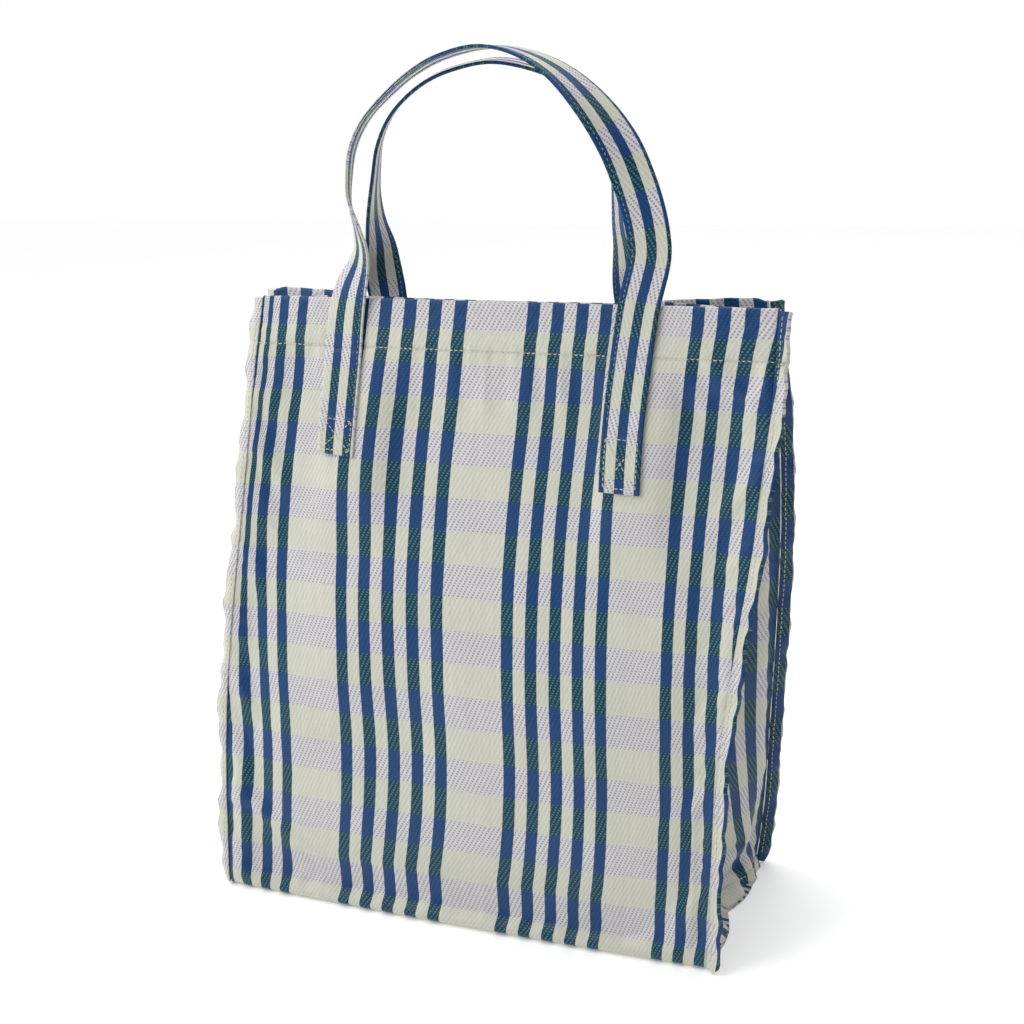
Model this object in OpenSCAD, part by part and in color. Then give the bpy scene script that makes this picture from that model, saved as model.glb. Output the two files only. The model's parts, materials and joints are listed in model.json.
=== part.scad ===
// Tote bag with two fabric handles: a boxy bag of woven plastic-tape cloth,
// gusseted at both sides. +X is to the right, -Y is the front, +Z is up.
// The origin is at the middle of the base, on the surface it stands on.

/* [Bag] */
// Width of the front, from side seam to side seam
bag_w = 338; // [280:1:400]
// Height of the top edge above the ground
bag_h = 400; // [340:1:460]
// Depth of the base, front to back
base_d = 140; // [110:1:170]
// Depth of the mouth at rest, front to back
mouth_d = 52; // [44:1:80]
// Depth of the fold that each gusset makes at the mouth
fold_in = 50; // [30:1:60]
// Thickness of the cloth
cloth_t = 1.2; // [1:0.1:1.6]

/* [Seams] */
// Height that a seam stands out from the bag
seam_h = 8.5; // [6:0.5:11]
// Thickness of a seam: two layers and the turnings
seam_t = 2.4; // [2:0.1:3]
// Depth of the hem at the mouth
hem_h = 28; // [20:1:36]
// Distance of a stitch line from the edge it holds
stitch_in = 2.6; // [2:0.1:4]

/* [Handles] */
// Width of the strap
strap_w = 25; // [20:1:32]
// Thickness of the strap, folded cloth
strap_t = 2.2; // [1.8:0.1:3]
// Distance of each strap from the middle of the bag
strap_x = 92; // [80:1:105]
// Height of the sewn end of a strap
tab_h = 38; // [30:1:46]
// Depth below the top edge at which the strap comes free
free_from = 74; // [60:1:90]
// Rise of the front loop above the top edge
front_rise = 149; // [130:1:170]
// Rise of the back loop above the top edge
back_rise = 141; // [120:1:160]
// Half the width of the back loop's arch
back_arch = 77; // [68:1:80]
// Half the width of the front loop's arch
front_arch = 90; // [86:1:96]

/* [Hidden] */

cream = [0.87, 0.88, 0.78];
blue = [0.06, 0.22, 0.45];
ecru = [0.93, 0.92, 0.86];

// Each wall leans in from the base to the mouth.
lean = atan((base_d - mouth_d) / 2 / bag_h);
// Length of a wall along its slope, and where things sit on it
wall_l = bag_h / cos(lean);
hinge_v = wall_l - free_from;   // top of the sewn end, where the strap folds
gap = 0.4;                      // clearance between a loose strap and the cloth
thread_t = 0.5;
thread_w = 0.7;

// A closed solid between two grids of points, P outside and Q inside.
module shell(P, Q) {
    r = len(P);
    c = len(P[0]);
    n = r * c;
    over = [for (i = [0:r - 2], j = [0:c - 2]) each [
        [i * c + j, i * c + j + 1, (i + 1) * c + j + 1],
        [i * c + j, (i + 1) * c + j + 1, (i + 1) * c + j]]];
    under = [for (f = over) [n + f[2], n + f[1], n + f[0]]];
    rim = concat([for (j = [0:c - 2]) j + 1], [for (i = [1:r - 1]) i * c + c - 1],
        [for (j = [c - 2:-1:0]) (r - 1) * c + j], [for (i = [r - 2:-1:0]) i * c]);
    m = len(rim);
    edge = [for (k = [0:m - 1]) let(a = rim[k], b = rim[(k + 1) % m]) each [
        [a, a + n, b + n], [a, b + n, b]]];
    polyhedron(points = concat([for (row = P) each row], [for (row = Q) each row]),
        faces = concat(over, under, edge), convexity = 8);
}

// A closed solid through a row of four-cornered rings.
module sweep(R) {
    n = len(R);
    polyhedron(points = [for (r = R) each r], convexity = 8, faces = concat(
        [[0, 1, 2], [0, 2, 3]],
        [for (i = [0:n - 2], j = [0:3]) let(k = (j + 1) % 4) each [
            [i * 4 + j, (i + 1) * 4 + j, (i + 1) * 4 + k],
            [i * 4 + j, (i + 1) * 4 + k, i * 4 + k]]],
        [[(n - 1) * 4 + 2, (n - 1) * 4 + 1, (n - 1) * 4], [(n - 1) * 4 + 3, (n - 1) * 4 + 2, (n - 1) * 4]]));
}

// The front wall's own frame: X along it, Y into the bag, Z up the wall.
module on_front() translate([0, -base_d / 2, 0]) rotate([-lean, 0, 0]) children();
module on_back() mirror([0, 1, 0]) on_front() children();

// ---- base and gussets ----
module base_panel() {
    in = cloth_t + 1;
    color(cream) translate([-bag_w / 2 + 0.2, -base_d / 2 + in, 0])
        cube([bag_w - 0.4, base_d - 2 * in, cloth_t]);
}

// How deep the gusset folds in at height z, and how far its edges are from the middle.
function fold(z) = fold_in * pow(max(z, 0) / bag_h, 0.75);
function edge_y(z) = base_d / 2 - z * (base_d - mouth_d) / 2 / bag_h - cloth_t - 0.5;
function gusset_pt(z, s, t) = [bag_w / 2 - t - fold(z) * (1 - abs(s)), s * edge_y(z), z];

module gusset() {
    zs = [1.6, 20, 50, 90, 140, 200, 270, 340, bag_h - 1];
    ss = [-1, -0.75, -0.5, -0.25, 0, 0.25, 0.5, 0.75, 1];
    color(cream) shell([for (z = zs) [for (s = ss) gusset_pt(z, s, 0)]],
        [for (z = zs) [for (s = ss) gusset_pt(z, s, cloth_t)]]);
}
module right_gusset() gusset();
module left_gusset() mirror([1, 0, 0]) gusset();

// The seam along the side of the base hangs down to the ground.
module right_base_seam() color(cream)
    translate([bag_w / 2 + 0.1, -base_d / 2 + 4, 0]) cube([seam_t, base_d - 8, seam_h + 1]);
module left_base_seam() mirror([1, 0, 0]) right_base_seam();
module base_seam_thread() color(ecru) for (m = [0, 1]) mirror([m, 0, 0])
    translate([bag_w / 2 + 0.1 + seam_t, -base_d / 2 + 5, seam_h - 1.5]) cube([thread_t, base_d - 10, thread_w]);

// ---- walls, drawn once in the wall's frame ----
module panel() translate([-bag_w / 2, 0, 1.5]) cube([bag_w, cloth_t, wall_l - 1.5]);
module hem() translate([-bag_w / 2 + 7, cloth_t, wall_l - hem_h]) cube([bag_w - 14, 1, hem_h - 0.3]);
module seam() translate([bag_w / 2, -0.6, 3]) cube([seam_h, seam_t, wall_l - 3]);
module hem_thread() translate([-bag_w / 2 + 2, -thread_t, wall_l - hem_h - 0.5]) difference() {
    cube([bag_w - 4, thread_t, thread_w]);
    // the straps lie over the line
    for (s = [-1, 1]) translate([bag_w / 2 - 2 + s * strap_x - strap_w / 2 - 1, -1, -1]) cube([strap_w + 2, 3, 3]);
}
module seam_thread() for (m = [0, 1]) mirror([m, 0, 0])
    translate([bag_w / 2 + stitch_in, -0.6 - thread_t, 5]) cube([thread_w, thread_t, wall_l - 8]);
module tab(s) translate([s * strap_x - strap_w / 2, -strap_t - gap, hinge_v - tab_h]) cube([strap_w, strap_t + gap, tab_h]);
// A square of stitching with a cross in it, on each sewn end
module box_thread() for (s = [-1, 1]) translate([s * strap_x, -strap_t - gap - thread_t, hinge_v - tab_h / 2]) {
    w = strap_w - 2 * stitch_in;
    h = tab_h - 2 * stitch_in;
    rotate([-90, 0, 0]) linear_extrude(thread_t) union() {
        difference() {
            square([w, h], center = true);
            square([w - 2 * thread_w, h - 2 * thread_w], center = true);
        }
        for (a = [-1, 1]) rotate(a * atan(h / w)) square([norm([w, h]) - 2, thread_w], center = true);
    }
}

module front_panel() color(cream) on_front() panel();
module back_panel() color(cream) on_back() panel();
module front_hem() color(cream) on_front() hem();
module back_hem() color(cream) on_back() hem();
module front_right_seam() color(blue) on_front() seam();
module front_left_seam() color(blue) on_front() mirror([1, 0, 0]) seam();
module back_right_seam() color(blue) on_back() seam();
module back_left_seam() color(blue) on_back() mirror([1, 0, 0]) seam();
module front_hem_thread() color(ecru) on_front() hem_thread();
module back_hem_thread() color(ecru) on_back() hem_thread();
module front_seam_thread() color(ecru) on_front() seam_thread();
module back_seam_thread() color(ecru) on_back() seam_thread();
module front_right_tab() color(blue) on_front() tab(1);
module front_left_tab() color(blue) on_front() tab(-1);
module back_right_tab() color(blue) on_back() tab(1);
module back_left_tab() color(blue) on_back() tab(-1);
module front_box_thread() color(ecru) on_front() box_thread();
module back_box_thread() color(ecru) on_back() box_thread();

// ---- handles: legs lie on the wall, the loop stands above it ----
module leg(s) translate([s * strap_x - strap_w / 2, -strap_t - gap, hinge_v + 0.5]) cube([strap_w, strap_t, wall_l - hinge_v - 0.3]);
// The strap's open edge is the inner one, and a row of stitches closes it.
module leg_thread() for (m = [0, 1]) mirror([m, 0, 0])
    translate([strap_x - strap_w / 2 + stitch_in - thread_w / 2, -strap_t - gap - thread_t, hinge_v + 6]) cube([thread_w, thread_t, wall_l - hinge_v - 6.4]);

// A loop's middle line in the wall's frame. u runs from -1 (left foot) to 1 (right foot).
// The legs run up to the arch, which is a half circle, and it narrows or widens to it.
function smooth(t) = let(q = min(max(t, 0), 1)) q * q * (3 - 2 * q);
function loop_pt(u, r, rise) = let(a = abs(u), s = sign(u), leg_part = 0.25, up = rise - r)
    a > 1 - leg_part
        ? let(t = (1 - a) / leg_part) [s * (strap_x + (r - strap_x) * smooth(t)), t * up]
        : let(g = 90 * a / (1 - leg_part)) [s * r * sin(g), up + r * cos(g)];
// The strap faces forwards at its feet and turns to face up at the top.
function turn(u) = 88 * (1 - smooth((abs(u) - 0.12) / 0.86));
function frame_at(u, r, rise) = let(
    e = 0.004,
    p0 = loop_pt(min(u + e, 1), r, rise), p1 = loop_pt(max(u - e, -1), r, rise),
    d = p0 - p1, T = d / norm(d),
    N = [-T[1], T[0]],              // outwards from the arch
    k = turn(u),
    W = [N[0] * cos(k), sin(k), N[1] * cos(k)],
    F = [N[0] * sin(k), -cos(k), N[1] * sin(k)])
    [[p0[0] / 2 + p1[0] / 2, 0, p0[1] / 2 + p1[1] / 2], W, F];
// Corners of the strap's section; off and w place a narrow strip across it, lift and t through it.
function ring(u, r, rise, off, w, lift, t) = let(f = frame_at(u, r, rise), c = f[0], W = f[1], F = f[2])
    [c + W * (off - w / 2) + F * lift, c + W * (off + w / 2) + F * lift,
     c + W * (off + w / 2) + F * (lift + t), c + W * (off - w / 2) + F * (lift + t)];

loop_z = wall_l + 1.8;
loop_y = -strap_t / 2 - gap;
rings = 64;
module loop_solid(r, rise, off, w, lift, t) translate([0, loop_y, loop_z])
    sweep([for (i = [0:rings]) ring(-1 + 2 * i / rings, r, rise, off, w, lift, t)]);
module strap_loop(r, rise) loop_solid(r, rise, 0, strap_w, -strap_t / 2, strap_t);
module strap_loop_thread(r, rise)
    loop_solid(r, rise, stitch_in - strap_w / 2, thread_w, strap_t / 2 + 0.4, thread_t);

module front_right_leg() color(blue) on_front() leg(1);
module front_left_leg() color(blue) on_front() leg(-1);
module front_leg_thread() color(ecru) on_front() leg_thread();
module front_loop() color(blue) on_front() strap_loop(front_arch, front_rise);
module front_loop_thread() color(ecru) on_front() strap_loop_thread(front_arch, front_rise);
module back_right_leg() color(blue) on_back() leg(1);
module back_left_leg() color(blue) on_back() leg(-1);
module back_leg_thread() color(ecru) on_back() leg_thread();
module back_loop() color(blue) on_back() strap_loop(back_arch, back_rise);
module back_loop_thread() color(ecru) on_back() strap_loop_thread(back_arch, back_rise);

base_panel();
right_gusset();
left_gusset();
right_base_seam();
left_base_seam();
base_seam_thread();
front_panel();
front_hem();
front_right_seam();
front_left_seam();
front_hem_thread();
front_seam_thread();
front_right_tab();
front_left_tab();
front_box_thread();
back_panel();
back_hem();
back_right_seam();
back_left_seam();
back_hem_thread();
back_seam_thread();
back_right_tab();
back_left_tab();
back_box_thread();
front_right_leg();
front_left_leg();
front_leg_thread();
front_loop();
front_loop_thread();
back_right_leg();
back_left_leg();
back_leg_thread();
back_loop();
back_loop_thread();
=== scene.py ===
"""Looks of the gusseted tote bag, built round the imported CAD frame. Lengths in this file are millimetres until a mesh is made."""
import bpy
import json
import math
import numpy as np
from mathutils import Matrix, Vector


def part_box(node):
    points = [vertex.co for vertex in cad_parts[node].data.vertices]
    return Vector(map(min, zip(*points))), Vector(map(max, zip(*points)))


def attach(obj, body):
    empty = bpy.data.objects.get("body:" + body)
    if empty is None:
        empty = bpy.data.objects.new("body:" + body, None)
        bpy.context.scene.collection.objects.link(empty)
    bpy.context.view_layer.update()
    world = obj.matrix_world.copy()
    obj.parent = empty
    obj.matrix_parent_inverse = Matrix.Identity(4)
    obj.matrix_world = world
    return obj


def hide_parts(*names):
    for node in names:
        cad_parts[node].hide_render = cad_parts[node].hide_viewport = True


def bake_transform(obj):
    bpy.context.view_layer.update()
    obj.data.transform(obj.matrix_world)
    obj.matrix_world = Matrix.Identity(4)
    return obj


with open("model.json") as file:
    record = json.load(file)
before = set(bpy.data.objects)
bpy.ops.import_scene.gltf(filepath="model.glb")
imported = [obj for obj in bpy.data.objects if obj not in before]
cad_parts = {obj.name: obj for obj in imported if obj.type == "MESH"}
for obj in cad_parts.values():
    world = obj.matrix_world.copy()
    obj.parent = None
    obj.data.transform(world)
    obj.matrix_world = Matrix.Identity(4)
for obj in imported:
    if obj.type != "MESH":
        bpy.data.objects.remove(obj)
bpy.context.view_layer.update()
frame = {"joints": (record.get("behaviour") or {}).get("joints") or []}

# ---------------------------------------------------------------- sizes, from the frame
joint = {j["name"]: np.array(j["pos_m"]) * 1000 for j in frame["joints"]}
lo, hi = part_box("front_panel")
HW = hi.x * 1000                        # half the width, seam to seam
H = hi.z * 1000                         # height of the mouth
YB = -joint["mouth"][1]                 # half the depth of the base
CLOTH = 1.2
MY = -hi.y * 1000 + CLOTH               # half the depth of the mouth
LEAN = math.atan2(YB - MY, H)
L = H / math.cos(LEAN)
SL, CL = math.sin(LEAN), math.cos(LEAN)
HINGE_V = (joint["front_handle_fold"][2] - 2.6 * SL) / CL
lo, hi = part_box("front_right_seam")
FIN = 8.5
HEM = 28.0
STRAP_W, STRAP_T = 25.0, 2.2
TAB = 38.0
STITCH = 2.6


def smooth(x):
    x = np.clip(x, 0, 1)
    return x * x * (3 - 2 * x)


# The bag leans a little as it stands, and twists: the front goes further over than the back.
_z = np.array([0, 60, 120, 200, 250, 310, 350, 400.0])
_cx = {-1: np.polyfit(_z, [-12, -11, -9.5, -2, 5.5, 12, 16.5, 20], 5),
       1: np.polyfit(_z, [-10.5, -4, 0, 5, 7, 7, 6.5, 5.5], 5)}
_hw = np.polyfit(_z, np.array([167.5, 168, 168.5, 167.5, 168.5, 167.5, 166, 164]) - 169, 5)


def centre_x(side, z):
    return np.polyval(_cx[side], np.clip(z, 0, 400))


def half_x(z):
    return HW + np.polyval(_hw, np.clip(z, 0, 400))


def place_x(side, a, z):
    return centre_x(side, z) + a / HW * half_x(z)


def wall(side, x, w, v):
    """A point on a wall: side -1 is the front, w goes into the bag, v up the wall."""
    x, w, v = np.broadcast_arrays(np.asarray(x, float), w, v)
    return np.stack([x, side * (YB - w * CL - v * SL), -w * SL + v * CL], -1)


def waves(a, v, seed, amount, shortest=45, longest=150, count=9):
    """A smooth, repeatable unevenness."""
    r = np.random.RandomState(seed)
    out = np.zeros(np.broadcast(a, v).shape)
    for _ in range(count):
        k = 2 * math.pi / r.uniform(shortest, longest)
        th, ph = r.uniform(0, math.pi), r.uniform(0, 2 * math.pi)
        out = out + np.sin(k * (np.cos(th) * a * 1.3 + np.sin(th) * v * 0.7) + ph)
    return amount * out / math.sqrt(count)


# ---------------------------------------------------------------- the cloth's coarse grids, 5 mm apart
NV, NA, NG = 80, 68, 28
va = np.linspace(0, L, NV + 1)
aa = np.linspace(-HW, HW, NA + 1)
gg = np.linspace(-1, 1, NG + 1)


def bulge(a, v, side):
    """How far the wall stands out: most at a third of the height, hardly at all under the straps."""
    e = np.abs(a / HW)
    profile = smooth(v / 70) * (1 - smooth((v - 150) / 150) * 0.86) * (1 - 0.5 * smooth((v - 340) / 60))
    across = 1 - e ** 5
    b = (11.5 if side < 0 else 9) * profile * across
    b = b + 3.2 * (side < 0) * (1 - e * e) * (1 - smooth(v / 80))       # the front of the base bows forwards
    return b + waves(a, v, 11 if side < 0 else 23, 0.75) * profile * (1 - e ** 3) - 4.0 * smooth((v - 335) / 70)


def panel_grid(side):
    A, V = np.meshgrid(aa, va)
    P = wall(side, place_x(side, A, V * CL), -bulge(A, V, side), V)
    if side > 0:                        # the back has slumped a little lower than the front
        P[..., 2] -= (2.0 + 4.5 * (1 - np.abs(A / HW) ** 3)) * smooth((V - 300) / 100)
    return P


def gusset_grid(side):
    """Rows up the gusset, columns from front to back, each row as long as the cloth is wide."""
    P = np.zeros((NV + 1, NG + 1, 3))
    c = 0.26
    s = gg
    phi = (math.sqrt(1 + c * c) - np.sqrt(s * s + c * c)) / (math.sqrt(1 + c * c) - c)
    for i, v in enumerate(va):
        z = v * CL
        ye = YB - v * SL - 4.0 * smooth((v - 335) / 70)
        want = 2 * YB
        d0, d1 = 0.0, 90.0
        for _ in range(26):
            d = (d0 + d1) / 2
            seg = np.hypot(np.diff(phi) * d, np.diff(s) * ye).sum()
            if seg < want:
                d0 = d
            else:
                d1 = d
        mid = 0.5 * (centre_x(-1, z) * (1 - s) + centre_x(1, z) * (1 + s))
        x = mid + side * (half_x(z) - d * phi)
        near = math.exp(-z / 42.0)
        x = x + side * near * (5.5 * np.sin(math.pi * np.abs(s)) ** 1.0 * (1 - 0.35 * (s < 0)) - 2.5 * np.exp(-(s / 0.18) ** 2))
        P[i, :, 0] = x
        P[i, :, 1] = s * ye
        P[i, :, 2] = z
    return P


front, back = panel_grid(-1), panel_grid(1)
right, left = gusset_grid(1), gusset_grid(-1)
base_y = np.linspace(-YB, YB, NG + 1)
A, Y = np.meshgrid(aa, base_y)
rise = 0.9 * np.exp(-((np.abs(A) - HW) / 9) ** 2)
base = np.stack([place_x(-1, A, 0 * A), Y - 3.2 * (1 - (A / HW) ** 2) * smooth((-20 - Y) / (YB - 20)), rise], -1)
# the gussets' lower edge and the base share their sides
base[:, -1] = right[0]
base[:, 0] = left[0]
for k in range(1, 5):
    f = (1 - k / 5) ** 2
    base[:, -1 - k, 0] += f * (right[0, :, 0] - place_x(-1, HW, 0.0))
    base[:, k, 0] += f * (left[0, :, 0] - place_x(-1, -HW, 0.0))

# One strip: down the front, under the base and up the back.
strip = np.concatenate([front[::-1], base[1:-1], back])
FR, BR = NV, NV + NG                    # rows of the two lower folds
for _ in range(2):                      # rounds the two folds
    s2 = strip.copy()
    for r0 in (FR, BR):
        for r in range(r0 - 1, r0 + 2):
            s2[r] = 0.5 * strip[r] + 0.25 * (strip[r - 1] + strip[r + 1])
    strip = s2
strip[:, :, 2] = np.maximum(strip[:, :, 2], 0.05)


def weld(strip, right, left):
    for g, c in ((right, -1), (left, 0)):
        g[:, 0] = strip[FR::-1, c]
        g[:, -1] = strip[BR:, c]
        g[0, :] = strip[FR:BR + 1, c]


weld(strip, right, left)

# ---------------------------------------------------------------- cloth simulation
def simulate(strip, right, left, frames=24):
    """Slightly more cloth than fits, held at the seams, hem and base, so it buckles as the real cloth does."""
    R, C = strip.shape[:2]
    n = R * C
    idx = np.arange(n).reshape(R, C)
    inner = NV * (NG - 1)
    ids = []
    for k, c in ((0, C - 1), (1, 0)):
        g = np.zeros((NV + 1, NG + 1), int)
        g[1:, 1:-1] = n + k * inner + np.arange(inner).reshape(NV, NG - 1)
        g[:, 0] = idx[FR::-1, c]
        g[:, -1] = idx[BR:, c]
        g[0, :] = idx[FR:BR + 1, c]
        ids.append(g)
    co = np.concatenate([strip.reshape(-1, 3), right[1:, 1:-1].reshape(-1, 3), left[1:, 1:-1].reshape(-1, 3)]) / 1000
    faces = []
    for g, flip in ((idx, False), (ids[0], False), (ids[1], True)):
        q = np.stack([g[:-1, :-1], g[:-1, 1:], g[1:, 1:], g[1:, :-1]], -1).reshape(-1, 4)
        faces += (q[:, ::-1] if flip else q).tolist()
    me = bpy.data.meshes.new("sim")
    me.from_pydata(co.tolist(), [], faces)
    ob = bpy.data.objects.new("sim", me)
    bpy.context.scene.collection.objects.link(ob)
    pin = np.zeros(len(co))
    W = np.zeros((R, C))
    W[:, [0, -1]] = 1                                   # seams
    W[FR - 1:BR + 2] = 1                                # base and its folds
    hem = int(HEM / (L / NV)) + 1
    W[:hem] = 0.85
    W[-hem:] = 0.85
    W[[0, -1]] = 1
    pin[:n] = W.reshape(-1)
    for g in ids:
        pin[g[0]] = 1
        pin[g[-1]] = 1
        pin[g[:, [0, -1]].reshape(-1)] = 1
    vg = ob.vertex_groups.new(name="pin")
    for w in np.unique(pin):
        if w > 0:
            vg.add(np.nonzero(pin == w)[0].tolist(), float(w), "REPLACE")
    mod = ob.modifiers.new("cloth", "CLOTH")
    st = mod.settings
    st.quality = 8
    st.mass = 0.22
    st.tension_stiffness = st.compression_stiffness = 60
    st.shear_stiffness = 45
    st.bending_stiffness = 2.2
    st.tension_damping = st.compression_damping = st.shear_damping = 12
    st.bending_damping = 1.0
    st.air_damping = 2
    st.vertex_group_mass = "pin"
    st.pin_stiffness = 3
    st.shrink_min = -0.012
    st.use_pressure = False
    mod.collision_settings.use_self_collision = False
    mod.collision_settings.use_collision = False
    st.effector_weights.gravity = 0.6
    sc = bpy.context.scene
    mod.point_cache.frame_start, mod.point_cache.frame_end = 1, frames + 1
    sc.frame_start, sc.frame_end = 1, frames + 1
    for f in range(1, frames + 1):
        sc.frame_set(f)
    ev = ob.evaluated_get(bpy.context.evaluated_depsgraph_get())
    out = np.zeros(len(co) * 3)
    ev.data.vertices.foreach_get("co", out)
    out = out.reshape(-1, 3) * 1000
    bpy.data.objects.remove(ob)
    bpy.data.meshes.remove(me)
    sc.frame_set(1)
    start = co * 1000
    d = out - start
    far = np.linalg.norm(d, axis=1, keepdims=True)
    d = d * np.minimum(1, 7.0 / np.maximum(far, 1e-9))
    out = start + np.where(np.isfinite(d), d, 0)
    print("cloth moved up to %.1f mm, %.2f mm on average" % (far.max(), far.mean()))
    return out[:n].reshape(R, C, 3), out[ids[0]], out[ids[1]]


rest_strip = strip.copy()
strip, right, left = simulate(strip, right, left)
# the straps are sewn flat on the cloth, so the walls stay where they were under them
A, V = np.meshgrid(aa, va)
for rows in (slice(FR, None, -1), slice(BR, None)):
    r = strip[rows]
    keep = smooth((V - 235) / 60) * np.clip(np.exp(-((np.abs(A) - 92) / 24) ** 4), 0, 1)[: r.shape[0]]
    r += (rest_strip[rows] - r) * keep[..., None]
strip[:, :, 2] = np.maximum(strip[:, :, 2], 0.05)
weld(strip, right, left)


# ---------------------------------------------------------------- fine grids
def weights(at, n):
    """Catmull-Rom weights that read n evenly spaced rows at the places given, in rows."""
    W = np.zeros((len(at), n))
    for r, u in enumerate(at):
        u = min(max(u, 0), n - 1)
        i = min(int(u), n - 2)
        f = u - i
        c = [-0.5 * f + f * f - 0.5 * f ** 3, 1 - 2.5 * f * f + 1.5 * f ** 3,
             0.5 * f + 2 * f * f - 1.5 * f ** 3, -0.5 * f * f + 0.5 * f ** 3]
        for k, w in zip(range(i - 1, i + 3), c):
            if k < 0:
                W[r, 0] += 2 * w
                W[r, 1] -= w
            elif k > n - 1:
                W[r, n - 1] += 2 * w
                W[r, n - 2] -= w
            else:
                W[r, k] += w
    return W


def resample(P, rows, cols):
    return np.einsum("ri,ijk,cj->rck", weights(rows, P.shape[0]), P, weights(cols, P.shape[1]))


def normals(P, towards=None):
    """Unit normals of a grid, facing the same way as towards(P) on average."""
    du = np.gradient(P, axis=1)
    dv = np.gradient(P, axis=0)
    n = np.cross(du, dv)
    n /= np.maximum(np.linalg.norm(n, axis=-1, keepdims=True), 1e-9)
    if towards is not None and (n * towards).sum() < 0:
        n = -n
    return n


objects = []


def new_mesh(name, co, faces, attr, mat, smooth_faces=True):
    me = bpy.data.meshes.new(name)
    me.from_pydata((np.asarray(co) / 1000).tolist(), [], faces)
    me.update()
    if attr is not None:
        at = me.attributes.new("cloth", "FLOAT_VECTOR", "POINT")
        at.data.foreach_set("vector", np.asarray(attr, np.float32).reshape(-1))
    me.polygons.foreach_set("use_smooth", [smooth_faces] * len(me.polygons))
    me.materials.append(mat)
    ob = bpy.data.objects.new(name, me)
    bpy.context.scene.collection.objects.link(ob)
    objects.append(ob)
    return ob


def shell(name, P, N, th, attr, mat):
    """A closed sheet: P is its outer face, N points out of it and th is its thickness."""
    R, C = P.shape[:2]
    n = R * C
    Q = P - N * th
    idx = np.arange(n).reshape(R, C)
    q = np.stack([idx[:-1, :-1], idx[:-1, 1:], idx[1:, 1:], idx[1:, :-1]], -1).reshape(-1, 4)
    fn = np.cross(P[0, 1] - P[0, 0], P[1, 0] - P[0, 0])
    mid = np.cross(P[R // 2, C // 2 + 1] - P[R // 2, C // 2], P[R // 2 + 1, C // 2] - P[R // 2, C // 2])
    if (mid * N[R // 2, C // 2]).sum() < 0:
        q = q[:, ::-1]
        flip = True
    else:
        flip = False
    rim = np.concatenate([idx[0, :-1], idx[:-1, -1], idx[-1, :0:-1], idx[:0:-1, 0]])
    nx = np.roll(rim, -1)
    edge = np.stack([rim, rim + n, nx + n, nx], -1)
    if flip:
        edge = edge[:, ::-1]
    faces = q.tolist() + (q[:, ::-1] + n).tolist() + edge.tolist()
    co = np.concatenate([P.reshape(-1, 3), Q.reshape(-1, 3)])
    at = np.concatenate([attr.reshape(-1, 3)] * 2)
    return new_mesh(name, co, faces, at, mat)


# ---------------------------------------------------------------- materials
def lin(rgb):
    c = np.array(rgb, float) / 255
    return tuple(np.where(c <= 0.04045, c / 12.92, ((c + 0.055) / 1.055) ** 2.4)) + (1.0,)


class Nodes:
    def __init__(self, name):
        self.mat = bpy.data.materials.new(name)
        self.mat.use_nodes = True
        self.t = self.mat.node_tree
        self.t.nodes.clear()
        self.out = self.t.nodes.new("ShaderNodeOutputMaterial")
        self.bsdf = self.t.nodes.new("ShaderNodeBsdfPrincipled")
        self.t.links.new(self.bsdf.outputs[0], self.out.inputs[0])

    def put(self, socket, value):
        if isinstance(value, (int, float)):
            socket.default_value = value
        elif isinstance(value, tuple):
            socket.default_value = value
        else:
            self.t.links.new(value, socket)

    def m(self, op, *args):
        n = self.t.nodes.new("ShaderNodeMath")
        n.operation = op
        for s, a in zip(n.inputs, args):
            self.put(s, a)
        return n.outputs[0]

    def mix(self, f, a, b):
        n = self.t.nodes.new("ShaderNodeMix")
        n.data_type = "RGBA"
        self.put(n.inputs[0], f)
        self.put(n.inputs[6], a)
        self.put(n.inputs[7], b)
        return n.outputs[2]

    def scale(self, colour, f):
        n = self.t.nodes.new("ShaderNodeVectorMath")
        n.operation = "SCALE"
        self.put(n.inputs[0], colour)
        self.put(n.inputs[3], f)
        return n.outputs[0]

    def below(self, x, edge, soft):
        """1 where x is under edge, 0 above it, over a short ramp."""
        return self.range(x, edge - soft, edge + soft, 1, 0)

    def range(self, x, a, b, c, d):
        n = self.t.nodes.new("ShaderNodeMapRange")
        for i, v in enumerate((x, a, b, c, d)):
            self.put(n.inputs[i], v)
        return n.outputs[0]

    def noise(self, vector, scale, detail=3, rough=0.5):
        n = self.t.nodes.new("ShaderNodeTexNoise")
        self.put(n.inputs["Vector"], vector)
        n.inputs["Scale"].default_value = scale
        n.inputs["Detail"].default_value = detail
        n.inputs["Roughness"].default_value = rough
        return n.outputs[0]

    def xyz(self, x, y, z=0.0):
        n = self.t.nodes.new("ShaderNodeCombineXYZ")
        for s, v in zip(n.inputs, (x, y, z)):
            self.put(s, v)
        return n.outputs[0]


GROUP, PITCH, GROUP_AT = 105.6, 15.4, 53.8
BAND, BAND_AT = 41.4, 13.5
WARP, ROW = 0.7, 1.59


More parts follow.
